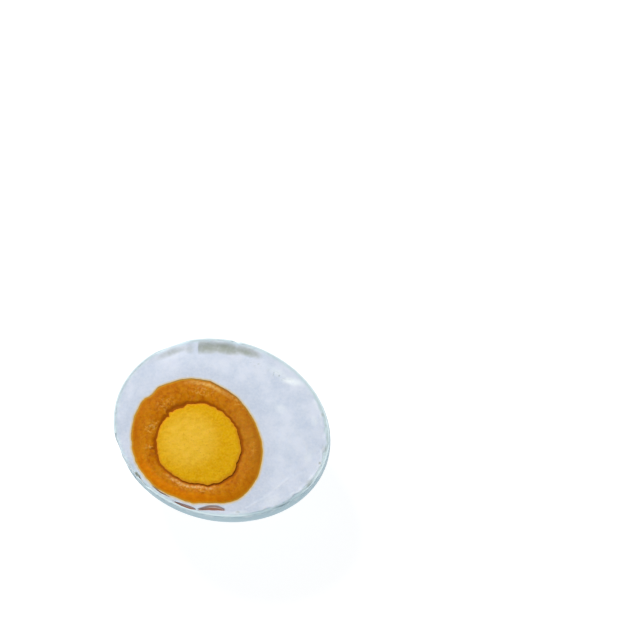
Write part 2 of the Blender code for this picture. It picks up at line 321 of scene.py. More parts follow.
# Mealy, catching the light: places on the orange layer
MEALY_PATCHES = (
    ((-5.5 * MM, -17.4 * MM), (5.2 * MM, 1.6 * MM), -12, 1.0),
    ((0.0 * MM, -17.4 * MM), (5.0 * MM, 1.4 * MM), 8, 0.8),
    ((-16.1 * MM, -11.0 * MM), (1.5 * MM, 1.3 * MM), 20, 1.0),
    ((-17.3 * MM, -5.6 * MM), (2.6 * MM, 3.4 * MM), 0, 0.9),
    ((-16.0 * MM, 1.5 * MM), (4.0 * MM, 3.0 * MM), 40, 0.6),
    ((-8.0 * MM, 7.6 * MM), (5.0 * MM, 2.2 * MM), 10, 0.6),
    ((1.5 * MM, 8.0 * MM), (4.5 * MM, 2.0 * MM), -25, 0.6),
    ((9.5 * MM, -3.0 * MM), (1.5 * MM, 3.0 * MM), 20, 0.5),
)

# Ragged lines and uneven faces: height, or strength where it multiplies something, size of the
# largest lumps, number of ever finer layers of them, and which noise it is
YOLK_EDGE_LUMPS = (0.14 * MM, 1.8 * MM, 3, 20)
CORE_EDGE_LUMPS = (0.2 * MM, 1.3 * MM, 3, 30)
OUTER_LAYER_WAVES = (0.1 * MM, 2.6 * MM, 1, 12)
OUTER_LAYER_GRAIN = (0.2 * MM, 1.3 * MM, 4, 9)
CORE_GRAIN = (0.06 * MM, 0.9 * MM, 4, 14)
RIM_LUMPS = (0.07 * MM, 2.2 * MM, 1, 3)
RIM_CRUMBS = (0.05 * MM, 0.8 * MM, 2, 6)
BROKEN_SHELL_GRAIN = (0.02 * MM, 0.4 * MM, 2, 2)
MISSING_EDGE_LUMPS = (0.5 * MM, 2.0 * MM, 3, 44)
WHITE_WAVES = (0.06 * MM, 7.0 * MM, 1, 0)
WHITE_LUMPS = (0.03 * MM, 2.0 * MM, 3, 4)
BRIGHT_LUMPS = (0.1 * MM, 1.1 * MM, 3, 8)
CRUMBLED_LUMPS = (1.4, 1.4 * MM, 3, 40)
LOBE_LUMPS = (1.2, 1.4 * MM, 1, 46)
EDGE_SHADE_LUMPS = (0.3, 0.9 * MM, 2, 50)
NOISE_SEED = 11
NOISE_SIDE = 32
NOISE_LAYER_GAP = 7.3

# Screen colours, 0 to 255 a channel
FULL_CHANNEL = 255
SHELL_BLUE = (166, 194, 205)
SHELL_PALE_BLUE = (178, 204, 214)
SHELL_BLOTCH = (208, 222, 228)
SHELL_RIM = (218, 235, 240)
SHELL_SHADED_RIM = (176, 199, 207)
SHELL_LINING = (205, 215, 210)
WHITE_SHADED = (203, 213, 229)
WHITE_CLEAR = (221, 227, 240)
WHITE_SHADE_NEAR_YOLK = (192, 200, 216)
WHITE_SPECK = (226, 230, 239)
WHITE_BRIGHT = (242, 248, 252)
WHITE_CREASE_HIGHLIGHT = (236, 240, 248)
WHITE_DOT = (178, 188, 190)
WHITE_RIM = (206, 226, 232)
WHITE_MINT = (203, 220, 223)
WHITE_SHADED_STRIP = (184, 206, 214)
EDGE_SHADE_GREY = (160, 167, 158)
EDGE_SHADE_DARK = (112, 124, 116)
WHITE_YOLK_TINT = (224, 196, 132)
SLIT_SIDE = (214, 198, 194)
SLIT_SHADE = (152, 100, 76)
ORANGE_DARK = (178, 94, 0)
ORANGE_LIGHT = (206, 124, 2)
ORANGE_STREAK = (206, 134, 14)
ORANGE_OUTER = (186, 104, 0)
ORANGE_DULL = (172, 114, 40)
ORANGE_DEEP_DARK = (212, 117, 0)
ORANGE_DEEP_LIGHT = (228, 134, 2)
ORANGE_LIT = (222, 160, 84)
ORANGE_GLINT = (232, 172, 86)
ORANGE_GOLD_GRAIN_GLINT = (226, 160, 52)
ORANGE_SPARKLE = (236, 186, 122)
TRENCH_SHADED_FLOOR = (160, 84, 6)
TRENCH_LOW_SHADED_FLOOR = (172, 94, 14)
ORANGE_CREAM_HIGHLIGHT = (232, 184, 96)
BRIM_GOLD = (208, 158, 50)
BRIM_SHADOW_BROWN = (156, 116, 58)
YELLOW_PALE_DARK = (230, 180, 42)
YELLOW_PALE_LIGHT = (240, 190, 62)
YELLOW_DARK = (218, 158, 0)
YELLOW_LIGHT = (226, 170, 6)
YELLOW_SMEAR = (212, 154, 14)
YELLOW_CRUMB = (242, 194, 56)
YELLOW_PIT = (190, 134, 26)
YELLOW_LIP_SHADE = (222, 144, 28)

# Patterns in the colours: size, finer layers and their strength, and the noise values between
# which the pattern changes
MOTTLE = (9.0 * MM, 3.0, 0.55, 0.35, 0.65)
BLOTCHES = (1.6 * MM, 4.0, 0.55, 0.4, 0.65)
CLOUDS = (5.0 * MM, 5.0, 0.6, 0.35, 0.65)
SPECKS = (0.6 * MM, 3.0, 0.55, 0.3, 0.7)
WHITE_CRUMBS = (0.8 * MM, 3.0, 0.55, 0.25, 0.5)
DOTS = (0.55 * MM, 2.0, 0.55, 0.56, 0.64)
RIM_PATCHES = (1.0 * MM, 3.0, 0.55, 0.35, 0.6)
EDGE_SHADE_MOTTLE = (0.9 * MM, 2.0, 0.55, 0.2, 0.7)
ORANGE_GRAIN = (1.0 * MM, 4.0, 0.6, 0.3, 0.7)
STREAKS = (2.0 * MM, 4.0, 0.6, 0.42, 0.7)
GLINTS = (0.8 * MM, 4.0, 0.65, 0.5, 0.64)
GOLD_GRAIN_GLINTS = (0.5 * MM, 3.0, 0.6, 0.48, 0.62)
SPARKLES = (0.6 * MM, 3.0, 0.6, 0.44, 0.62)
WISPS = (0.9 * MM, 4.0, 0.6, 0.3, 0.6)
OILINESS = (0.8 * MM, 3.0, 0.55, 0.3, 0.7)
YELLOW_GRAIN = (1.6 * MM, 5.0, 0.65, 0.3, 0.7)
SMEARS = (1.4 * MM, 4.0, 0.6, 0.3, 0.44)
YELLOW_CRUMBS = (0.5 * MM, 3.0, 0.6, 0.42, 0.6)
PITS = (0.5 * MM, 2.0, 0.55, 0.3, 0.38)

# Directions that streaks run in, and how far they are drawn out
STREAK_TURN = math.radians(-62)
STREAK_STRETCH = 3.5
SMEAR_TURN = math.radians(18)
SMEAR_STRETCH = 4.0

# Shares that follow an attribute of the mesh: its name, its values where the share starts and
# stops changing, and the share at both
BLOTCHED_SHARE = ("down", 0.2, 3.0, 0.75, 0.0)
SHADED_RIM_SHARE = ("shaded_rim", 0.0, 0.6, 0.0, 1.0)
SHELL_RIM_SHARE = ("inward", 0.02, 0.2, 0.0, 1.0)
LINING_SHARE = ("inward", 0.94, 1.0, 0.0, 1.0)
YOLK_SHADE_SHARE = ("from_yolk", 1.0, 5.5, 0.4, 0.0)
WHITE_RIM_SHARE = ("from_rim", 0.5, 1.4, 0.8, 0.0)
STRIP_SHARE = ("strip", 0.0, 1.0, 0.0, 0.8)
YOLK_TINT_SHARE = ("from_yolk", 0.0, 0.7, 0.9, 0.0)
SLIT_SHARE = ("slit", 0.0, 0.5, 0.0, 1.0)
SLIT_SHADE_SHARE = ("slit_shade", 0.0, 0.8, 0.0, 1.0)
ORANGE_OUTER_SHARE = ("inward", 0.12, 0.4, 0.45, 0.0)
DEEP_SHARE = ("deep", 0.1, 0.8, 0.0, 0.8)
GLINT_SHARE = ("inward", 0.2, 0.5, 0.0, 0.12)
TRENCH_SHARE = ("trench", 0.0, 0.8, 0.0, 1.0)
BRIM_SHARE = ("from_edge", 0.0, 0.7, 0.9, 0.0)
PIT_SHARE = ("inward", 0.45, 0.8, 0.3, 1.0)
LIP_SHADE_SHARE = ("inward", 0.0, 0.07, 0.8, 0.0)
GREY_SHADE_SPAN = (0.0, 1.0)
DARK_SHADE_SPAN = (0.9, 1.6)

# The most that a pattern or an attribute changes the colour under it
SPECK_STRENGTH = 0.35
CREASE_HIGHLIGHT_STRENGTH = 0.35
DOT_STRENGTH = 0.8
STREAK_STRENGTH = 0.6
DULL_STRENGTH = 0.35
LIT_STRENGTH = 0.5
GOLD_GRAIN_GLINT_STRENGTH = 0.55
SPARKLE_STRENGTH = 0.8
SMEAR_STRENGTH = 0.4
CRUMB_STRENGTH = 0.3
PIT_STRENGTH = 0.55

# Ranges of patterns that never fall to nothing
WHITE_CRUMB_RANGE = (0.45, 1.0)
RIM_PATCH_RANGE = (0.5, 1.0)
EDGE_SHADE_MOTTLE_RANGE = (0.75, 1.0)
WISP_RANGE = (0.15, 0.9)
OILY_ROUGHNESS_RANGE = (0.35, 0.6)

# Fine relief in the finishes: size, finer layers and their strength, height, strength
SHELL_PORES = (0.35 * MM, 2.0, 0.55, 0.01 * MM, 0.6)
WHITE_RELIEF = (0.6 * MM, 4.0, 0.55, 0.06 * MM, 0.5)
ORANGE_RELIEF = (0.5 * MM, 4.0, 0.55, 0.16 * MM, 0.7)
YELLOW_RELIEF = (0.6 * MM, 5.0, 0.6, 0.16 * MM, 0.7)

# The photograph's view: the line of sight from the cut's normal, and where things land in it
CAMERA_DISTANCE = 500 * MM
CAMERA_TILT = math.radians(16.0)
CAMERA_HEADING = math.radians(-60.9)
CAMERA_ROLL = math.radians(-10.8)
FACE_PIXEL = (221.9, 427.1)
FRAME_PIXELS = 640
PIXELS_PER_METRE = 3829.0
SENSOR_WIDTH = 36.0

# Lights: name, direction as shares of right, up and towards the camera, distance, size, power,
# colour; the sky; and the pale floor
LIGHTS = (
    ("key", (-0.6, 1.3, 0.9), 0.8, 0.25, 4.9, (1.0, 0.99, 0.97)),
    ("fill", (0.9, -0.9, 0.9), 1.0, 0.9, 1.4, (0.95, 0.98, 1.0)),
    ("side", (-1.2, -0.3, 0.6), 1.0, 0.6, 0.9, (1.0, 1.0, 1.0)),
)
SKY_COLOUR = (0.9, 0.95, 1.0, 1.0)
SKY_STRENGTH = 0.35
FLOOR_HALF_SIDE = 3.0
FLOOR_COLOUR = (0.3, 0.3, 0.3, 1.0)
FLOOR_GLOW_COLOUR = (1.0, 1.0, 1.0, 1.0)
FLOOR_GLOW = 0.85

# Fineness of the meshes: points round each piece, rows down its walls and across its cut face,
# and the powers that crowd rows near an edge
AROUND_SHELL = 720
AROUND_WHITE = 700
AROUND_YOLK = 720
SHELL_OUTSIDE_ROWS = 70
SHELL_LINING_ROWS = 30
SHELL_CROWDING = 1.3
SHELL_RIM_ROWS = (0.07, 0.22, 0.4, 0.6, 0.78, 0.93)
SHELL_RIM_CROWN = 0.03 * MM
WALL_ROWS = 14
CORE_CAVITY_ROWS = 12
CORE_WALL_ROWS = 10
WALL_CROWDING = 1.5
WHITE_FACE_ROWS = 112
WHITE_FACE_EVENNESS = 0.6
OUTER_FACE_ROWS = 96
OUTER_FACE_CROWDING = 1.3
CORE_FACE_ROWS = 84
CORE_FACE_CROWDING = 1.15
FAR_FROM_EDGE = 9
REACH_STEPS = 42
ANGLE_STEPS = 4


# Numbers over whole arrays of points


def screen(channels):
    """A screen colour as the linear values that a shader takes."""
    colour = Color([channel / FULL_CHANNEL for channel in channels])
    return (*colour.from_srgb_to_scene_linear(), 1.0)


def angle_between(first, second):
    """The gap between two directions in degrees, from 0 to 180."""
    return np.abs((first - second + HALF_TURN) % FULL_TURN - HALF_TURN)


def bump(gap, half_width):
    """A smooth hump: 1 at no gap, 0 from half_width on."""
    share = np.clip(np.abs(gap) / half_width, 0, 1)
    return (1 - share**2) ** 2


def facing(angles, middle, half_angle):
    """A smooth hump over directions in degrees: 1 at the middle one, 0 from half_angle on."""
    return bump(angle_between(angles, middle), half_angle)


def smooth_step(share):
    share = np.clip(share, 0, 1)
    return share * share * (3 - 2 * share)


NOISE_TABLE = np.random.default_rng(NOISE_SEED).uniform(-1, 1, (NOISE_SIDE,) * 3)


def ripple(x, y, size, layer):
    """Smooth noise from -1 to 1 in lumps of about that size; another layer is other noise."""
    points = np.stack(np.broadcast_arrays(x / size, y / size, NOISE_LAYER_GAP * layer), -1)
    cell = np.floor(points).astype(int)
    part = smooth_step(points - cell)
    total = 0
    for corner in np.ndindex(2, 2, 2):
        index = (cell + corner) % NOISE_SIDE
        weight = np.prod(np.where(corner, part, 1 - part), axis=-1)
        total = total + weight * NOISE_TABLE[index[..., 0], index[..., 1], index[..., 2]]
    return total


def lumps(x, y, kind):
    """Lumps of that kind, with ever finer and lower ones on them."""
    height, size, count, layer = kind
    total = 0
    for number in range(count):
        total = total + ripple(x, y, size / 2**number, layer + number) / 2**number
    return height * total


def direction_of(x, y):
    """The direction of a point on the cut from the middle of the egg, in degrees."""
    return np.degrees(np.arctan2(y, x)) % FULL_TURN


def yolk_direction_of(x, y):
    """The direction of a point on the cut from the middle of the yolk, in degrees."""
    return np.degrees(np.arctan2(y - YOLK_Y, x - YOLK_X)) % FULL_TURN


def path_place(x, y, corners):
    """How far points are from a path of straight runs, and the share of it they lie beside."""
    nearest = np.full(np.shape(x), np.inf)
    beside = np.zeros(np.shape(x))
    runs = len(corners) - 1
    for number, ((x0, y0), (x1, y1)) in enumerate(zip(corners, corners[1:])):
        run_x = x1 - x0
        run_y = y1 - y0
        share = ((x - x0) * run_x + (y - y0) * run_y) / (run_x**2 + run_y**2)
        share = np.clip(share, 0, 1)
        gap = np.hypot(x - x0 - share * run_x, y - y0 - share * run_y)
        beside = np.where(gap < nearest, (number + share) / runs, beside)
        nearest = np.minimum(nearest, gap)
    return nearest, beside


def patch(x, y, middle, half_lengths, turn):
    """1 in the middle of an oval patch on the cut, falling to 0 at its edge."""
    angle = math.radians(turn)
    east = x - middle[0]
    north = y - middle[1]
    along = (east * math.cos(angle) + north * math.sin(angle)) / half_lengths[0]
    across = (north * math.cos(angle) - east * math.sin(angle)) / half_lengths[1]
    return bump(np.hypot(along, across), 1.0)


def patches(x, y, table):
    total = np.zeros(np.shape(x))
    for middle, half_lengths, turn, strength in table:
        total = np.maximum(total, strength * patch(x, y, middle, half_lengths, turn))
    return total


# The body of the egg


def outside_egg(x, y, z, inset):
    """Above 0 outside the egg's surface, drawn in by inset, and below 0 inside it."""
    share = x / (HALF_LENGTH - inset)
    radius = (HALF_WIDTH - inset) * (1 - BLUNTNESS * share)
    return y * y + (z + CUT_ABOVE_MIDDLE) ** 2 - radius * radius * (1 - share * share)


def egg_reach(theta, phi, inset):
    """How far a ray from the yolk's middle, theta round and phi down, runs inside the egg."""
    ray_x = np.cos(phi) * np.cos(theta)
    ray_y = np.cos(phi) * np.sin(theta)
    ray_z = -np.sin(phi)
    near = np.zeros(np.broadcast(theta, phi).shape)
    far = np.full(near.shape, EGG_LENGTH)
    for _ in range(REACH_STEPS):
        middle = (near + far) / 2
        outside = (
            outside_egg(YOLK_X + ray_x * middle, YOLK_Y + ray_y * middle, ray_z * middle, inset)
            > 0
        )
        far = np.where(outside, middle, far)
        near = np.where(outside, near, middle)
    return near


def ray_points(theta, phi, reach):
    x = YOLK_X + reach * np.cos(phi) * np.cos(theta)
    y = YOLK_Y + reach * np.cos(phi) * np.sin(theta)
    return np.stack(np.broadcast_arrays(x, y, -reach * np.sin(phi)), -1)


def egg_points(theta, phi, inset):
    return ray_points(theta, phi, egg_reach(theta, phi, inset))


def egg_angles_at(theta, height, inset):
    """How far down the rays look that meet the egg's surface at those heights."""
    phi = np.zeros_like(theta)
    for _ in range(ANGLE_STEPS):
        phi = -np.arcsin(height / egg_reach(theta, phi, inset))
    return phi


def edge_distance(x, y):
    """How far inside the egg's outline points on the cut lie."""
    theta = np.arctan2(y - YOLK_Y, x - YOLK_X)
    return egg_reach(theta, np.zeros_like(theta), 0.0) - np.hypot(x - YOLK_X, y - YOLK_Y)


# The yolk's outlines on the cut, as distances from the yolk's middle


def ellipse_reach(theta, length, width):
    along = np.cos(theta - YOLK_TURN) / (length / 2)
    across = np.sin(theta - YOLK_TURN) / (width / 2)
    return 1 / np.hypot(along, across)


def swell(reach, theta, swellings):
    for direction, half_width, height in swellings:
        reach = reach + height * facing(np.degrees(theta), direction, half_width)
    return reach


def yolk_reach(theta):
    reach = swell(ellipse_reach(theta, YOLK_LENGTH, YOLK_WIDTH), theta, YOLK_SWELLINGS)
    return reach + lumps(reach * np.cos(theta), reach * np.sin(theta), YOLK_EDGE_LUMPS)


def core_reach(theta):
    reach = ellipse_reach(theta, CORE_LENGTH, CORE_WIDTH) + CORE_SHIFT * np.cos(theta)
    reach = swell(reach, theta, CORE_SWELLINGS)
    return reach + lumps(reach * np.cos(theta), reach * np.sin(theta), CORE_EDGE_LUMPS)


# Relief of the cut


def slit_opening(x, y, narrowing=1.0, drop=0.0):
    """The slits as (opening from 0 to 1, depth); each one tapers to nothing at both ends.

    Narrowed and dropped by shares of the half width, it gives the slits' dark lower sides, where
    shade is painted over the reddish brown.
    """
    opening = np.zeros(np.shape(x))
    depth = np.zeros(np.shape(x))
    for corners, half_width, deepest, skew in SLITS:
        shift_x = drop * half_width * SLIT_LOW_SIDE[0]
        shift_y = drop * half_width * SLIT_LOW_SIDE[1]
        gap, beside = path_place(x - shift_x, y - shift_y, corners)
        taper = np.clip(np.sin(math.pi * beside**skew), SLIT_END_WIDTH, 1) ** SLIT_TAPER
        own = smooth_step(SLIT_STEEPNESS * (1 - gap / (narrowing * half_width * taper)))
        opening = np.maximum(opening, own)
        depth = np.maximum(depth, own * deepest)
    return opening, depth


def recess_end(x, y):
    """0 along the line where the recess behind the rim breaks off, 1 away from it."""
    past = yolk_direction_of(x, y) - RECESS_END
    gap = np.where(past < 0, -past / RECESS_END_SOFTNESS, past / RECESS_FAR_SOFTNESS)
    return np.where(y > 0, smooth_step(gap), 1.0)


def recess_depth(x, y):
    inside = edge_distance(x, y)
    fall = smooth_step((inside - RECESS_START) / (RECESS_BOTTOM - RECESS_START))
    rise = smooth_step((inside - RECESS_BOTTOM) / (RECESS_FAR_SIDE - RECESS_BOTTOM))
    depth = np.zeros(np.shape(x))
    for direction, half_angle, deepest in RECESSES:
        opening = np.sqrt(facing(direction_of(x, y), direction, half_angle))
        depth = np.maximum(depth, deepest * opening)
    return depth * recess_end(x, y) * fall * (1 - rise)


def crumbled(x, y):
    """1 on the strip where the white's edge is gone, and 1 on the pale lobes along that strip."""
    width = np.zeros(np.shape(x))
    for direction, half_angle, widest in CRUMBLED_EDGES:
        opening = np.sqrt(facing(direction_of(x, y), direction, half_angle))
        width = np.maximum(width, widest * opening)
    ragged = width * (1 + lumps(x, y, CRUMBLED_LUMPS))
    beyond = edge_distance(x, y) - SHELL_THICKNESS - ragged
    strip = 1 - smooth_step(beyond / CRUMB_SOFTNESS)
    lobes = bump(beyond - LOBE_WIDTH, LOBE_WIDTH) * smooth_step(width / LOBE_STRIP)
    lobes = lobes * smooth_step(LOBE_SHARE + lumps(x, y, LOBE_LUMPS))
    return strip * smooth_step(width / FULL_STRIP), lobes


# Strength of the painted grey-green shade near the rim
def edge_shade_strength(x, y):
    inside = edge_distance(x, y)
    direction = direction_of(x, y)
    ragged = lumps(x, y, EDGE_SHADE_LUMPS)
    total = np.zeros(np.shape(x))
    for middle, distance, half_angle, half_width, strength in EDGE_SHADES:
        along = angle_between(direction, middle) / half_angle
        across = (inside - distance) / half_width
        wobble = ragged / max(half_angle / EDGE_SHADE_CALM_ANGLE, 1)
        share = np.clip(np.hypot(along, across) + wobble, 0, None)
        total = np.maximum(total, strength * np.sqrt(bump(share, 1.0)))
    return total * recess_end(x, y)


def low_edge(x, y):
    drop = np.zeros(np.shape(x))
    for direction, half_width, depth in LOW_EDGES:
        drop = drop + depth * facing(direction_of(x, y), direction, half_width)
    return drop


# Painted shade: where the rim and the crumbled strip turn a darker teal at the lower right
def shaded_rim(x, y):
    return facing(direction_of(x, y), SHADED_RIM_ANGLE, SHADED_RIM_HALF_ANGLE)


def whole_rim_height(x, y):
    rough = lumps(x, y, RIM_LUMPS) + lumps(x, y, RIM_CRUMBS)
    return RIM_PROUD + rough - low_edge(x, y)


def missing_depth(x, y):
    """Depth of the gap in the eggshell."""
    share = (direction_of(x, y) - MISSING_ANGLE) / MISSING_HALF_ANGLE
    fullness = np.clip(1 - np.abs(share) ** MISSING_ROUNDNESS, 0, 1) ** MISSING_FULLNESS
    ragged = lumps(x, y, MISSING_EDGE_LUMPS) * fullness
    depth = MISSING_DEPTH * (MISSING_END_SHARE + (1 - MISSING_END_SHARE) * fullness) + ragged
    return np.where(np.abs(share) < 1, depth, 0.0)


def rim_height(x, y):
    height = whole_rim_height(x, y) - missing_depth(x, y)
    for chip, half_width, depth in RIM_CHIPS:
        height = height - depth * facing(direction_of(x, y), chip, half_width)
    return height


def white_height(x, y):
    waves = lumps(x, y, WHITE_WAVES) + lumps(x, y, WHITE_LUMPS)
    rough = patches(x, y, BRIGHT_PATCHES) * lumps(x, y, BRIGHT_LUMPS)
    gap, _ = path_place(x, y, CREASE)
    crease = CREASE_HEIGHT * bump(gap, CREASE_HALF_WIDTH)
    own = waves + rough + crease - WHITE_SUNK
    at_rim = whole_rim_height(x, y) - WHITE_BELOW_RIM
    inside = smooth_step((edge_distance(x, y) - SHELL_THICKNESS) / RIM_SLOPE)
    strip, lobes = crumbled(x, y)
    crumbs = CRUMBLED_DEPTH * (strip - LOBE_RISE * lobes)
    surface = at_rim + (own - at_rim) * inside - crumbs
    _, slit_depth = slit_opening(x, y)
    return surface - recess_depth(x, y) - slit_depth


def trench_width(theta):
    width = np.full(np.shape(theta), TRENCH_WIDTH)
    for direction, half_width, extra in WIDE_TRENCH:
        width = width + extra * facing(np.degrees(theta), direction, half_width)
    return width


def trench_share(gap, theta):
    """1 in the trench and its groove, 0 away from them; gap is the distance from the core."""
    trench = smooth_step(TRENCH_STEEPNESS * (1 - gap / trench_width(theta)))
    beside = facing(np.degrees(theta), GROOVE_ANGLE, GROOVE_HALF_ANGLE)
    groove = beside * bump(gap, GROOVE_LENGTH)
    return np.maximum(trench, GROOVE_SHARE * groove)


def outer_layer_height(share, trench, x, y):
    """Height of the orange layer, with share 0 at its outer edge and 1 at the core."""
    rise = np.sin(math.pi * np.clip(share / CROWN_END, 0, 1)) ** CROWN_FULLNESS
    surface = OUTER_LAYER_CROWN * rise - OUTER_LAYER_SUNK - TRENCH_DEPTH * trench
    mealy = CALM_GRAIN + (1 - CALM_GRAIN) * patches(x, y, MEALY_PATCHES)
    inner = EDGE_GRAIN + (1 - EDGE_GRAIN) * smooth_step((share - GRAIN_START) / GRAIN_RISE)
    grain = lumps(x, y, OUTER_LAYER_GRAIN) * mealy * inner
    rough = grain + lumps(x, y, OUTER_LAYER_WAVES)
    return surface + rough * (1 - trench) * smooth_step(share / OUTER_EDGE_SHARE)


def core_height(share, x, y):
    """Height of the core's top, with share 0 at its edge and 1 in its middle."""
    dome = CORE_DOME * (1 - (1 - share) ** 2)
    drop = CORE_EDGE_DROP * (1 - smooth_step(share / CORE_EDGE_SHARE))
    grain = lumps(x, y, CORE_GRAIN) * smooth_step(share / CORE_GRAIN_SHARE)
    return CORE_EDGE_HEIGHT + dome - drop + grain


# Meshes from loops of points


def directions(count):
    return np.arange(count) * (2 * math.pi / count)


def crowded(count, power):
    """Shares from 0 up to, but without, 1 that crowd together near 0."""
    return (np.arange(count) / count) ** power


def loft(name, first_pole, loops, last_pole, values=None):
    """A closed smooth mesh with a fan at each pole and bands of faces from loop to loop.

    values holds, by attribute name, one number for each loop or one for each point.
    """
    rows = len(loops)
    count = loops.shape[1]
    points = np.concatenate([[first_pole], loops.reshape(-1, 3), [last_pole]])
    points[:, 2] += FACE_HEIGHT
    index = 1 + np.arange(rows * count).reshape(rows, count)
    here = index[:-1]
    below = index[1:]
    quads = np.stack([here, below, np.roll(below, -1, 1), np.roll(here, -1, 1)], -1)
    quads = quads.reshape(-1, 4)
    top = np.stack([np.zeros(count, int), index[0], np.roll(index[0], -1)], -1)
    last = np.full(count, rows * count + 1)
    bottom = np.stack([last, np.roll(index[-1], -1), index[-1]], -1)
    mesh = bpy.data.meshes.new(name)
    mesh.from_pydata(points, [], quads.tolist() + top.tolist() + bottom.tolist())
    mesh.shade_smooth()
    for attribute, rows_of_values in (values or {}).items():
        spread = np.broadcast_to(np.reshape(rows_of_values, (rows, -1)), (rows, count))
        flat = np.concatenate([[spread[0, 0]], spread.ravel(), [spread[-1, 0]]])
        layer = mesh.attributes.new(attribute, "FLOAT", "POINT")
        layer.data.foreach_set("value", flat.astype(np.float32))
    piece = bpy.data.objects.new(name, mesh)
    bpy.context.scene.collection.objects.link(piece)
    return piece


def egg_wall(theta, inset, shares, heights):
    """Loops down the egg's surface, from those heights at share 0 towards its lowest point.

    From the settled share on, the loops don't follow a ragged rim any more.
    """
    top = egg_angles_at(theta, heights, inset)
    ragged = 1 - smooth_step(shares / SETTLED_SHARE)
    phi = STRAIGHT_DOWN * shares[:, None] + top * ragged[:, None]
    return egg_points(theta[None, :], phi, inset)


def bowl_wall(theta, reach, depth, top_depth, shares):
    """Loops down a rounded bowl of that reach and depth, from top_depth below the cut."""
    top = math.asin(top_depth / depth)
    phi = top + (STRAIGHT_DOWN - top) * shares[:, None]
    distance = 1 / np.hypot(np.cos(phi) / reach[None, :], np.sin(phi) / depth)
    return ray_points(theta[None, :], phi, distance)


def pole_under(depth):
    return (YOLK_X, YOLK_Y, -depth)


def egg_pole(inset):
    return egg_points(np.zeros(1), np.full(1, STRAIGHT_DOWN), inset)[0]


def make_eggshell():
    theta = directions(AROUND_SHELL)
    edge = egg_points(theta, np.zeros_like(theta), 0.0)
    heights = rim_height(edge[:, 0], edge[:, 1])
    outside = egg_wall(theta, 0.0, crowded(SHELL_OUTSIDE_ROWS, SHELL_CROWDING), heights)
    lining_shares = crowded(SHELL_LINING_ROWS, SHELL_CROWDING)
    lining = egg_wall(theta, SHELL_THICKNESS, lining_shares, heights)
    rim = []
    for share in SHELL_RIM_ROWS:
        loop = outside[0] * (1 - share) + lining[0] * share
        rough = lumps(loop[:, 0], loop[:, 1], BROKEN_SHELL_GRAIN)
        loop[:, 2] += rough + SHELL_RIM_CROWN * math.sin(math.pi * share)
        rim.append(loop)
    loops = np.concatenate([outside[::-1], rim, lining])
    loops[..., 2] = np.maximum(loops[..., 2], FLOOR_LIFT - FACE_HEIGHT)
    pole = egg_pole(0.0)
    pole[2] = max(pole[2], FLOOR_LIFT - FACE_HEIGHT)
    inward = [np.zeros(len(outside)), SHELL_RIM_ROWS, np.ones(len(lining))]
    values = {
        "inward": np.concatenate(inward),
        "down": -loops[..., 2] / MM,
        "shaded_rim": shaded_rim(loops[..., 0], loops[..., 1]),
    }
    return loft("duck_eggshell", pole, loops, egg_pole(SHELL_THICKNESS), values)


def make_white():
    theta = directions(AROUND_WHITE)
    edge = egg_points(theta, np.zeros_like(theta), SHELL_THICKNESS)
    top = white_height(edge[:, 0], edge[:, 1])
    wall_shares = crowded(WALL_ROWS, WALL_CROWDING)
    outside = egg_wall(theta, SHELL_THICKNESS, wall_shares, top)
    cavity = bowl_wall(theta, yolk_reach(theta), YOLK_DEPTH, 0.0, wall_shares)
    even = np.arange(1, WHITE_FACE_ROWS + 1) / WHITE_FACE_ROWS
    crowded_ends = (1 - np.cos(math.pi * even)) / 2
    share = WHITE_FACE_EVENNESS * even + (1 - WHITE_FACE_EVENNESS) * crowded_ends
    share = share[:, None, None]
    face = outside[0] * (1 - share) + cavity[0] * share
    face[..., 2] = white_height(face[..., 0], face[..., 1])
    loops = np.concatenate([outside[::-1], face, cavity[1:]])
    x = loops[..., 0]
    y = loops[..., 1]
    reach = np.hypot(x - YOLK_X, y - YOLK_Y)
    gap, _ = path_place(x, y, CREASE)
    strip, lobes = crumbled(x, y)
    near_cut = 1 - smooth_step((-loops[..., 2] - EDGE_SHADE_REACH) / EDGE_SHADE_FADE)
    values = {
        "from_yolk": (reach - yolk_reach(theta)) / MM,
        "from_rim": edge_distance(x, y) / MM,
        "shaded_rim": shaded_rim(x, y),
        "slit": slit_opening(x, y)[0],
        "slit_shade": slit_opening(x, y, SLIT_SHADE_WIDTH, SLIT_SHADE_DROP)[0],
        "edge_shade": edge_shade_strength(x, y) * near_cut,
        "strip": strip,
        "bright": np.maximum(patches(x, y, BRIGHT_PATCHES), LOBE_BRIGHTNESS * lobes),
        "crease": bump(gap, CREASE_LIGHT_HALF_WIDTH),
        "dotted": patches(x, y, DOTTED_PATCHES),
    }
    return loft("egg_white_cut", egg_pole(SHELL_THICKNESS), loops, pole_under(YOLK_DEPTH), values)


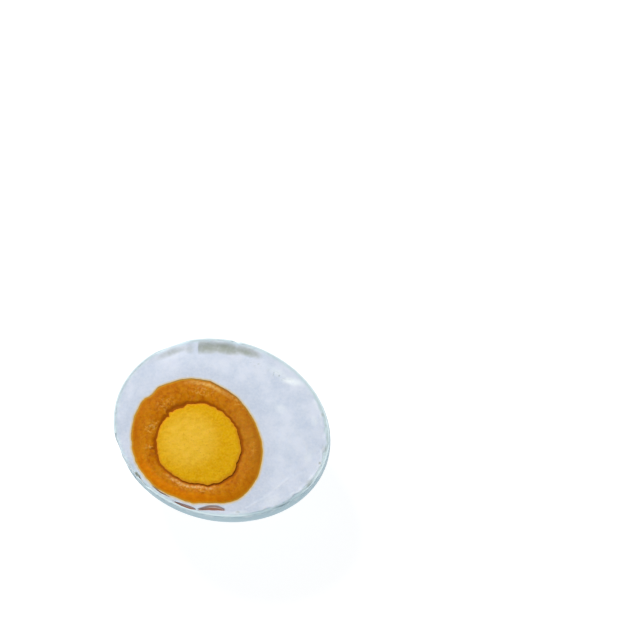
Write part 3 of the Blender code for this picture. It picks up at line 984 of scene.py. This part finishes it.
def make_outer_yolk():
    theta = directions(AROUND_YOLK)
    rim = yolk_reach(theta)
    outside = bowl_wall(theta, rim, YOLK_DEPTH, 0.0, crowded(WALL_ROWS, WALL_CROWDING))
    core = core_reach(theta)
    cavity_shares = crowded(CORE_CAVITY_ROWS, WALL_CROWDING)
    cavity = bowl_wall(theta, core, CORE_DEPTH, TRENCH_FLOOR_DEPTH, cavity_shares)
    even = np.arange(OUTER_FACE_ROWS) / OUTER_FACE_ROWS
    share = (1 - (1 - even) ** OUTER_FACE_CROWDING)[:, None]
    face = outside[0] * (1 - share[..., None]) + cavity[0] * share[..., None]
    gap = (1 - share) * (rim - core)
    from_edge = share * (rim - core)
    trench = trench_share(gap, theta)
    x = face[..., 0]
    y = face[..., 1]
    face[..., 2] = outer_layer_height(share, trench, x, y)
    loops = np.concatenate([outside[:0:-1], face, cavity])

    def towards(direction, half_angle):
        return facing(np.degrees(theta), direction, half_angle)

    low_side = np.sqrt(towards(DEEP_ORANGE_ANGLE, DEEP_ORANGE_HALF_ANGLE))
    deep = low_side * (1 - smooth_step((share - DEEP_ORANGE_SHARE) / DEEP_ORANGE_FADE))
    lit = bump(gap - LIT_GAP, LIT_HALF_WIDTH) * np.sqrt(towards(LIT_ANGLE, LIT_HALF_ANGLE))
    # Where the painted pale yellow highlight lies, just inside the outer edge at the top
    cream_highlight = bump(from_edge - CREAM_HIGHLIGHT_GAP, CREAM_HIGHLIGHT_HALF_WIDTH) * towards(CREAM_HIGHLIGHT_ANGLE, CREAM_HIGHLIGHT_HALF_ANGLE)

    # Each attribute on the cut face, and its value in the cavity; on the outside it is 0
    face_values = {
        "inward": (share, 1),
        "trench": (trench, 1),
        "mealy": (patches(x, y, MEALY_PATCHES), 1),
        "deep": (deep, 0),
        "lit": (lit, 0),
        "shadowed_brim": (towards(SHADOWED_BRIM_ANGLE, SHADOWED_BRIM_HALF_ANGLE), 0),
        "cream_highlight": (cream_highlight, 0),
        "dull": (towards(DULL_ANGLE, DULL_HALF_ANGLE), 0),
        "low_side": (low_side, low_side),
        "from_edge": (from_edge / MM, FAR_FROM_EDGE),
    }
    values = {}
    for name, (on_face, in_cavity) in face_values.items():
        spread = np.zeros(loops.shape[:2])
        spread[len(outside) - 1 :] = in_cavity
        spread[len(outside) - 1 : -len(cavity)] = on_face
        values[name] = spread
    poles = (pole_under(YOLK_DEPTH), pole_under(CORE_DEPTH))
    return loft("yolk_orange_layer", poles[0], loops, poles[1], values)


def make_core():
    theta = directions(AROUND_YOLK)
    rim = core_reach(theta)
    wall_shares = crowded(CORE_WALL_ROWS, WALL_CROWDING)
    wall = bowl_wall(theta, rim, CORE_DEPTH, TRENCH_FLOOR_DEPTH, wall_shares)
    share = crowded(CORE_FACE_ROWS, CORE_FACE_CROWDING)[:, None]
    face = ray_points(theta[None, :], np.zeros_like(share), rim[None, :] * (1 - share))
    face[..., 2] = core_height(share, face[..., 0], face[..., 1])
    loops = np.concatenate([wall[::-1], face])
    from_pale = np.hypot(loops[..., 0] - PALE_X, loops[..., 1] - PALE_Y)
    values = {
        "inward": np.concatenate([np.zeros(len(wall)), share[:, 0]]),
        "pale": 1 - smooth_step((from_pale - PALE_RADIUS) / PALE_FADE),
    }
    centre = np.array([[YOLK_X], [YOLK_Y]])
    top = (YOLK_X, YOLK_Y, float(core_height(np.ones(1), *centre)[0]))
    return loft("yolk_yellow_core", pole_under(CORE_DEPTH), loops, top, values)


# Materials


class Finish:
    """A material under construction: small helpers round one Principled shader."""

    def __init__(self, name):
        self.material = bpy.data.materials.new(name)
        self.material.use_nodes = True
        self.nodes = self.material.node_tree.nodes
        self.links = self.material.node_tree.links
        self.shader = self.nodes["Principled BSDF"]
        self.place = self.nodes.new("ShaderNodeTexCoord").outputs["Object"]

    def set(self, **values):
        for name, value in values.items():
            self.shader.inputs[name.replace("_", " ")].default_value = value

    def stretched(self, turn, stretch):
        """Object coordinates, turned round +Z and drawn out along the turned X."""
        node = self.nodes.new("ShaderNodeMapping")
        node.vector_type = "TEXTURE"
        values = (self.place, (0.0, 0.0, turn), (stretch, 1.0, 1.0))
        self.join(node, ("Vector", "Rotation", "Scale"), values)
        return node.outputs["Vector"]

    def noise(self, size, detail, roughness, place=None):
        node = self.nodes.new("ShaderNodeTexNoise")
        names = ("Vector", "Scale", "Detail", "Roughness")
        self.join(node, names, (place or self.place, 1 / size, detail, roughness))
        return node.outputs["Fac"]

    def attribute(self, name):
        node = self.nodes.new("ShaderNodeAttribute")
        node.attribute_name = name
        return node.outputs["Fac"]

    def window(self, value, low, high, out_low=0.0, out_high=1.0):
        """value, stretched so that low to high becomes out_low to out_high, and clamped."""
        node = self.nodes.new("ShaderNodeMapRange")
        node.interpolation_type = "SMOOTHSTEP"
        names = ("Value", "From Min", "From Max", "To Min", "To Max")
        self.join(node, names, (value, low, high, out_low, out_high))
        return node.outputs["Result"]

    def pattern(self, kind, at_low=0.0, at_high=1.0, place=None):
        """A pattern of that kind, with its values where the noise is low and where it is high."""
        *noise, low, high = kind
        return self.window(self.noise(*noise, place), low, high, at_low, at_high)

    def share(self, kind):
        """A share of that kind, which follows an attribute of the mesh."""
        name, *span = kind
        return self.window(self.attribute(name), *span)

    def join(self, node, names, values):
        """Sets a node's inputs of those names to a link or a plain value each."""
        for name, value in zip(names, values):
            if isinstance(value, bpy.types.NodeSocket):
                self.links.new(value, node.inputs[name])
            else:
                node.inputs[name].default_value = value

    def mix(self, share, first, second):
        """A colour from first at share 0 to second at share 1."""
        node = self.nodes.new("ShaderNodeMix")
        node.data_type = "RGBA"
        colours = [screen(own) if isinstance(own, tuple) else own for own in (first, second)]
        self.join(node, ("Factor", "A", "B"), (share, *colours))
        return node.outputs["Result"]

    def math(self, operation, first, second):
        node = self.nodes.new("ShaderNodeMath")
        node.operation = operation
        self.join(node, (0, 1), (first, second))
        return node.outputs["Value"]

    def times(self, first, second):
        return self.math("MULTIPLY", first, second)

    def larger(self, first, second):
        return self.math("MAXIMUM", first, second)

    def colour(self, value):
        self.links.new(value, self.shader.inputs["Base Color"])

    def roughness(self, value):
        self.links.new(value, self.shader.inputs["Roughness"])

    def relief(self, kind):
        *noise, distance, strength = kind
        node = self.nodes.new("ShaderNodeBump")
        names = ("Strength", "Distance", "Height")
        self.join(node, names, (strength, distance, self.noise(*noise)))
        self.links.new(node.outputs["Normal"], self.shader.inputs["Normal"])


def eggshell_material():
    finish = Finish("eggshell_finish")
    body = finish.mix(finish.pattern(MOTTLE), SHELL_BLUE, SHELL_PALE_BLUE)
    blotches = finish.times(finish.pattern(BLOTCHES), finish.share(BLOTCHED_SHARE))
    body = finish.mix(blotches, body, SHELL_BLOTCH)
    # The rim turns a darker teal towards the lower right, as painted shade
    rim = finish.mix(finish.share(SHADED_RIM_SHARE), SHELL_RIM, SHELL_SHADED_RIM)
    body = finish.mix(finish.share(SHELL_RIM_SHARE), body, rim)
    finish.colour(finish.mix(finish.share(LINING_SHARE), body, SHELL_LINING))
    finish.set(Roughness=0.55, IOR=1.4)
    finish.relief(SHELL_PORES)
    return finish.material


def white_material():
    finish = Finish("white_finish")
    body = finish.mix(finish.pattern(CLOUDS), WHITE_SHADED, WHITE_CLEAR)
    # Painted shade on the white beside the yolk
    body = finish.mix(finish.share(YOLK_SHADE_SHARE), body, WHITE_SHADE_NEAR_YOLK)
    body = finish.mix(finish.times(finish.pattern(SPECKS), SPECK_STRENGTH), body, WHITE_SPECK)
    crumbs = finish.pattern(WHITE_CRUMBS, *WHITE_CRUMB_RANGE)
    body = finish.mix(finish.times(finish.attribute("bright"), crumbs), body, WHITE_BRIGHT)
    # A painted highlight along the crease
    crease = finish.times(finish.attribute("crease"), CREASE_HIGHLIGHT_STRENGTH)
    body = finish.mix(crease, body, WHITE_CREASE_HIGHLIGHT)
    dots = finish.pattern(DOTS, at_high=DOT_STRENGTH)
    body = finish.mix(finish.times(dots, finish.attribute("dotted")), body, WHITE_DOT)
    rim = finish.times(finish.share(WHITE_RIM_SHARE), finish.pattern(RIM_PATCHES, *RIM_PATCH_RANGE))
    body = finish.mix(rim, body, WHITE_RIM)
    # The crumbled strip is mint, with painted shade of darker teal towards the lower right
    crumbled_edge = finish.mix(finish.share(SHADED_RIM_SHARE), WHITE_MINT, WHITE_SHADED_STRIP)
    body = finish.mix(finish.share(STRIP_SHARE), body, crumbled_edge)
    # Painted grey-green shade near the rim, partly the shell and its lining seen there; darker grey
    # where it is strongest
    shades = finish.pattern(EDGE_SHADE_MOTTLE, *EDGE_SHADE_MOTTLE_RANGE)
    edge_shade = finish.times(finish.attribute("edge_shade"), shades)
    body = finish.mix(finish.window(edge_shade, *GREY_SHADE_SPAN), body, EDGE_SHADE_GREY)
    body = finish.mix(finish.window(edge_shade, *DARK_SHADE_SPAN), body, EDGE_SHADE_DARK)
    body = finish.mix(finish.share(YOLK_TINT_SHARE), body, WHITE_YOLK_TINT)
    body = finish.mix(finish.share(SLIT_SHARE), body, SLIT_SIDE)
    # Painted shade on the slits' lower sides, over the reddish brown in them
    finish.colour(finish.mix(finish.share(SLIT_SHADE_SHARE), body, SLIT_SHADE))
    finish.set(Roughness=0.45, IOR=1.36)
    finish.set(Subsurface_Weight=0.35, Subsurface_Scale=0.9 * MM)
    finish.set(Subsurface_Radius=(1.0, 0.9, 0.8))
    finish.relief(WHITE_RELIEF)
    return finish.material


def orange_material():
    finish = Finish("orange_finish")
    mealy = finish.attribute("mealy")
    lit = finish.attribute("lit")
    grain = finish.pattern(ORANGE_GRAIN)
    body = finish.mix(grain, ORANGE_DARK, ORANGE_LIGHT)
    along = finish.stretched(STREAK_TURN, STREAK_STRETCH)
    body = finish.mix(finish.pattern(STREAKS, 0.0, STREAK_STRENGTH, along), body, ORANGE_STREAK)
    body = finish.mix(finish.share(ORANGE_OUTER_SHARE), body, ORANGE_OUTER)
    body = finish.mix(finish.times(finish.attribute("dull"), DULL_STRENGTH), body, ORANGE_DULL)
    deep = finish.mix(grain, ORANGE_DEEP_DARK, ORANGE_DEEP_LIGHT)
    body = finish.mix(finish.share(DEEP_SHARE), body, deep)
    body = finish.mix(finish.times(lit, LIT_STRENGTH), body, ORANGE_LIT)
    glints = finish.times(finish.pattern(GLINTS), finish.larger(mealy, finish.share(GLINT_SHARE)))
    body = finish.mix(glints, body, ORANGE_GLINT)
    # Golden specks: the mealy grain's own colour, with painted glints on it
    gold_grain_glints = finish.times(finish.pattern(GOLD_GRAIN_GLINTS, at_high=GOLD_GRAIN_GLINT_STRENGTH), mealy)
    body = finish.mix(gold_grain_glints, body, ORANGE_GOLD_GRAIN_GLINT)
    sparkles = finish.times(finish.pattern(SPARKLES, at_high=SPARKLE_STRENGTH), lit)
    body = finish.mix(sparkles, body, ORANGE_SPARKLE)
    # Painted shade on the trench floor over the orange's deeper colour, less of it on the low side
    floor = finish.mix(finish.attribute("low_side"), TRENCH_SHADED_FLOOR, TRENCH_LOW_SHADED_FLOOR)
    body = finish.mix(finish.share(TRENCH_SHARE), body, floor)
    # A painted pale yellow highlight just inside the outer edge at the top
    cream_highlight = finish.times(finish.pattern(WISPS, *WISP_RANGE), finish.attribute("cream_highlight"))
    body = finish.mix(cream_highlight, body, ORANGE_CREAM_HIGHLIGHT)
    # The outer brim is golden, with a painted brown shadow along its top
    brim = finish.mix(finish.attribute("shadowed_brim"), BRIM_GOLD, BRIM_SHADOW_BROWN)
    finish.colour(finish.mix(finish.share(BRIM_SHARE), body, brim))
    finish.roughness(finish.pattern(OILINESS, *OILY_ROUGHNESS_RANGE))
    finish.set(IOR=1.42, Specular_IOR_Level=0.14, Specular_Tint=(1.0, 0.6, 0.25, 1.0))
    finish.set(Subsurface_Weight=0.15, Subsurface_Scale=0.8 * MM)
    finish.set(Subsurface_Radius=(1.0, 0.3, 0.02))
    finish.relief(ORANGE_RELIEF)
    return finish.material


def yellow_material():
    finish = Finish("yellow_finish")
    grain = finish.pattern(YELLOW_GRAIN)
    middle = finish.mix(grain, YELLOW_PALE_DARK, YELLOW_PALE_LIGHT)
    edge = finish.mix(grain, YELLOW_DARK, YELLOW_LIGHT)
    body = finish.mix(finish.attribute("pale"), edge, middle)
    along = finish.stretched(SMEAR_TURN, SMEAR_STRETCH)
    body = finish.mix(finish.pattern(SMEARS, SMEAR_STRENGTH, 0.0, along), body, YELLOW_SMEAR)
    crumbs = finish.pattern(YELLOW_CRUMBS, at_high=CRUMB_STRENGTH)
    body = finish.mix(crumbs, body, YELLOW_CRUMB)
    pits = finish.times(finish.pattern(PITS, PIT_STRENGTH, 0.0), finish.share(PIT_SHARE))
    body = finish.mix(pits, body, YELLOW_PIT)
    # The core's edge turns darker orange: partly its own colour, partly painted shade on its
    # rounded edge
    finish.colour(finish.mix(finish.share(LIP_SHADE_SHARE), body, YELLOW_LIP_SHADE))
    finish.set(Roughness=0.85, IOR=1.38, Subsurface_Weight=0.12, Subsurface_Scale=0.6 * MM)
    finish.set(Specular_IOR_Level=0.12, Specular_Tint=(1.0, 0.8, 0.4, 1.0))
    finish.set(Subsurface_Radius=(1.0, 0.6, 0.1))
    finish.relief(YELLOW_RELIEF)
    return finish.material


def dress(piece, material, slot, *nodes):
    """Gives a piece its finish and lets it stand for the part's nodes."""
    piece.data.materials.append(material)
    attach(piece, BODY)
    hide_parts(*nodes)


# The view and the studio


def sight_axes():
    """The photograph's right, up and towards the camera, seen from the middle of the cut."""
    towards = Vector(
        (
            math.sin(CAMERA_TILT) * math.cos(CAMERA_HEADING),
            math.sin(CAMERA_TILT) * math.sin(CAMERA_HEADING),
            math.cos(CAMERA_TILT),
        )
    )
    level = Vector((0, 0, 1)).cross(towards).normalized()
    upright = towards.cross(level)
    right = level * math.cos(CAMERA_ROLL) + upright * math.sin(CAMERA_ROLL)
    return right, towards.cross(right), towards


def make_camera():
    """Stands the camera on the line of sight and aims it so that the cut lands where it should."""
    right, up, towards = sight_axes()
    middle = Vector((0, 0, FACE_HEIGHT))
    aside = (FRAME_PIXELS / 2 - FACE_PIXEL[0]) / PIXELS_PER_METRE
    above = (FACE_PIXEL[1] - FRAME_PIXELS / 2) / PIXELS_PER_METRE
    target = middle + right * aside + up * above
    place = middle + towards * CAMERA_DISTANCE
    back = (place - target).normalized()
    across = up.cross(back).normalized()
    turn = Matrix((across, back.cross(across), back)).transposed().to_4x4()
    data = bpy.data.cameras.new("view")
    data.sensor_width = SENSOR_WIDTH
    data.lens = SENSOR_WIDTH * PIXELS_PER_METRE * CAMERA_DISTANCE / FRAME_PIXELS
    camera = bpy.data.objects.new("view", data)
    camera.matrix_world = Matrix.Translation(place) @ turn
    bpy.context.scene.collection.objects.link(camera)
    bpy.context.scene.camera = camera


def make_light(name, direction, distance, size, power, colour):
    data = bpy.data.lights.new(name, "AREA")
    data.shape = "DISK"
    data.size = size
    data.energy = power
    data.color = colour
    light = bpy.data.objects.new(name, data)
    light.location = Vector((0, 0, FACE_HEIGHT)) + direction.normalized() * distance
    light.rotation_mode = "QUATERNION"
    light.rotation_quaternion = direction.to_track_quat("Z", "Y")
    bpy.context.scene.collection.objects.link(light)


def make_studio():
    axes = sight_axes()
    for name, shares, distance, size, power, colour in LIGHTS:
        direction = sum((axis * share for axis, share in zip(axes, shares)), Vector())
        make_light(name, direction, distance, size, power, colour)
    world = bpy.data.worlds.new("studio")
    world.use_nodes = True
    background = world.node_tree.nodes["Background"]
    background.inputs["Color"].default_value = SKY_COLOUR
    background.inputs["Strength"].default_value = SKY_STRENGTH
    bpy.context.scene.world = world
    bpy.context.scene.view_settings.view_transform = "Standard"


def make_floor():
    half = FLOOR_HALF_SIDE
    mesh = bpy.data.meshes.new("floor")
    corners = [(-half, -half, 0), (half, -half, 0), (half, half, 0), (-half, half, 0)]
    mesh.from_pydata(corners, [], [range(len(corners))])
    floor = bpy.data.objects.new("floor", mesh)
    bpy.context.scene.collection.objects.link(floor)
    finish = Finish("floor_finish")
    finish.set(Base_Color=FLOOR_COLOUR, Roughness=0.9)
    finish.set(Emission_Color=FLOOR_GLOW_COLOUR, Emission_Strength=FLOOR_GLOW)
    mesh.materials.append(finish.material)


dress(make_eggshell(), eggshell_material(), "eggshell", "eggshell")
dress(make_white(), white_material(), "egg_white", "egg_white")
dress(make_outer_yolk(), orange_material(), "yolk_orange", "yolk_outer_layer")
dress(make_core(), yellow_material(), "yolk_yellow", "yolk_core")
make_floor()
make_studio()
make_camera()
